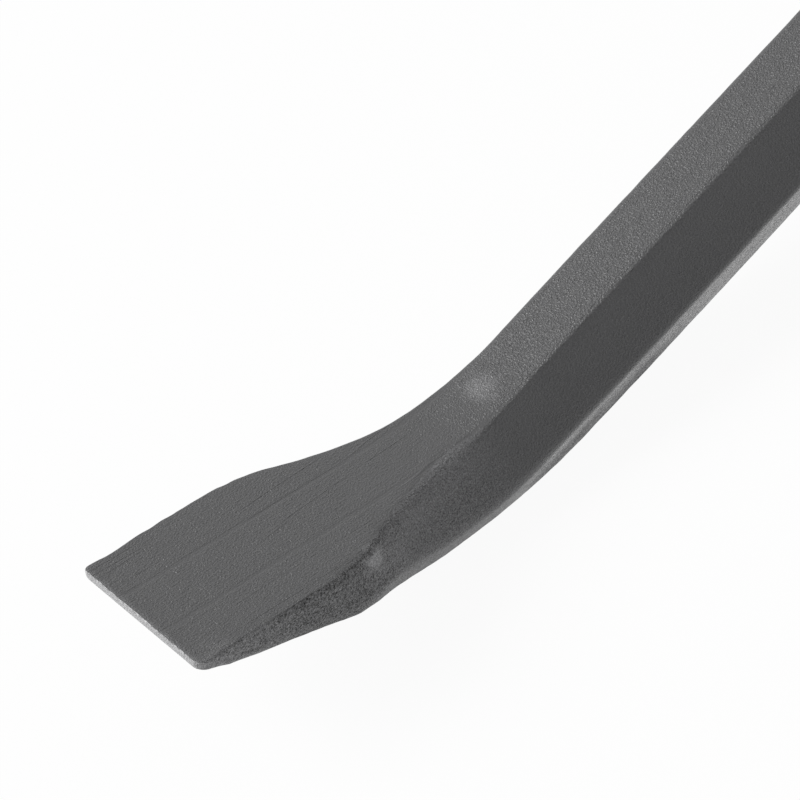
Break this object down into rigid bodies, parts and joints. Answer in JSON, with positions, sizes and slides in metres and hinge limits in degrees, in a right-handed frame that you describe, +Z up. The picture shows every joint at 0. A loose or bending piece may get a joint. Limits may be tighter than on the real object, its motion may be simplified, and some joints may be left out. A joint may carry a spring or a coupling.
{
  "type": "crowbar",
  "caption": "Wrecking bar forged from hexagonal steel: a bent, flared chisel at one end, a gooseneck with a slotted nail claw at the other and a ribbed grip sleeve on the shank.",
  "frame": {"origin": "centre of the bounding box's underside, on the floor that the chisel's heel and the claw's points rest on", "axes": "+X along the bar towards the gooseneck, +Y across the blade and the claw, +Z up, hook down"},
  "size_m": [0.6018, 0.0326, 0.1149],
  "materials": {
    "dark_grey_paint": "dark grey paint, semi-matt, with a fine orange-peel texture",
    "black_vinyl": "matt black moulded vinyl"
  },
  "bodies": {
    "root": {"forged_bar": "dark_grey_paint", "grip_sleeve": "black_vinyl"}
  },
  "joints": []
}
